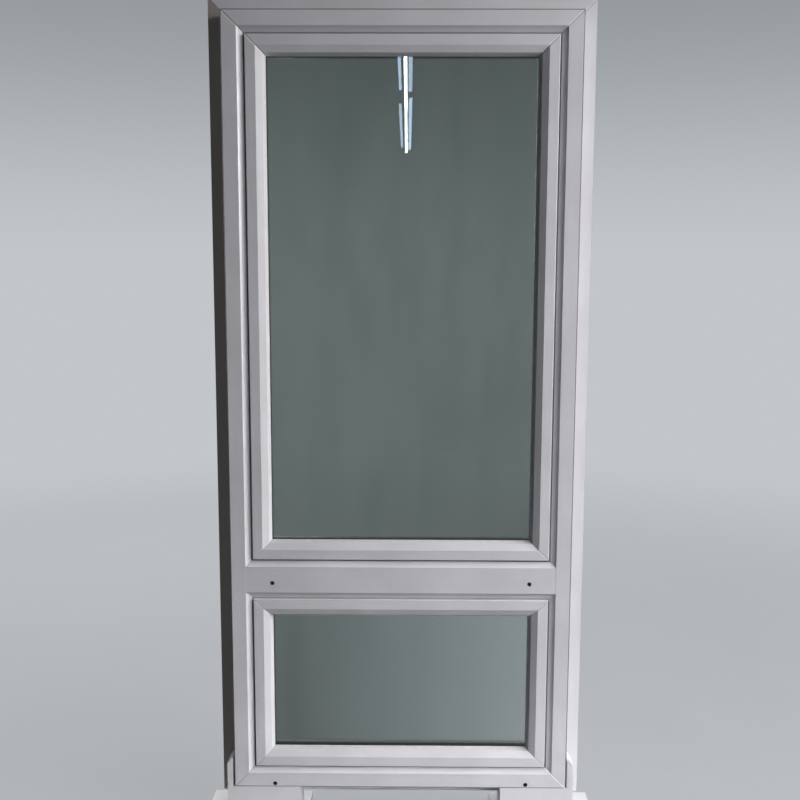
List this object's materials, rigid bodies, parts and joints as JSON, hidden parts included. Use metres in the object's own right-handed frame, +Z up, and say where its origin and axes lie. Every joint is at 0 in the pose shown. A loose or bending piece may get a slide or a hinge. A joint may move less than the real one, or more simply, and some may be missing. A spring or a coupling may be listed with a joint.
{
  "type": "window with fixed lower light",
  "caption": "Tall white plastic window: an opening sash above a transom, a short fixed light below, back flange all round, standing on stepped feet.",
  "frame": {"origin": "on the floor, at the middle of the footprint of the feet, under the middle of the window's depth", "axes": "+Z up; +Y toward the inside of the window, so the outside face looks along -Y; +X to the right as seen from outside"},
  "size_m": [1.104, 0.26, 2.267],
  "materials": {
    "frame_plastic": "white extruded plastic, satin",
    "glass": "clear float glass with a faint green tint",
    "spacer_bar": "matt grey spacer bar",
    "glazing_gasket": "grey rubber",
    "rebate_seal": "black rubber",
    "handle": "white enamel",
    "hinge_cover": "white moulded plastic",
    "foot_board": "white faced board"
  },
  "bodies": {
    "root": {"fixed_sash_bottom_rail": "frame_plastic", "fixed_sash_stile_left": "frame_plastic", "fixed_sash_stile_right": "frame_plastic", "fixed_sash_top_rail": "frame_plastic", "foot_left_block": "foot_board", "foot_left_board": "foot_board", "foot_left_lug": "foot_board", "foot_right_block": "foot_board", "foot_right_board": "foot_board", "foot_right_lug": "foot_board", "frame_head": "frame_plastic", "frame_jamb_left": "frame_plastic", "frame_jamb_right": "frame_plastic", "frame_sill": "frame_plastic", "handle_grip": "handle", "handle_neck": "handle", "handle_rosette": "handle", "hinge_cover_lower": "hinge_cover", "hinge_cover_upper": "hinge_cover", "lower_bead_bottom": "frame_plastic", "lower_bead_left": "frame_plastic", "lower_bead_right": "frame_plastic", "lower_bead_top": "frame_plastic", "lower_inner_gasket": "glazing_gasket", "lower_inner_pane": "glass", "lower_outer_gasket": "glazing_gasket", "lower_outer_pane": "glass", "lower_sash_seals": "rebate_seal", "lower_spacer": "spacer_bar", "opening_sash_bottom_rail": "frame_plastic", "opening_sash_stile_left": "frame_plastic", "opening_sash_stile_right": "frame_plastic", "opening_sash_top_rail": "frame_plastic", "transom": "frame_plastic", "upper_bead_bottom": "frame_plastic", "upper_bead_left": "frame_plastic", "upper_bead_right": "frame_plastic", "upper_bead_top": "frame_plastic", "upper_inner_gasket": "glazing_gasket", "upper_inner_pane": "glass", "upper_outer_gasket": "glazing_gasket", "upper_outer_pane": "glass", "upper_sash_seals": "rebate_seal", "upper_spacer": "spacer_bar"}
  },
  "joints": []
}
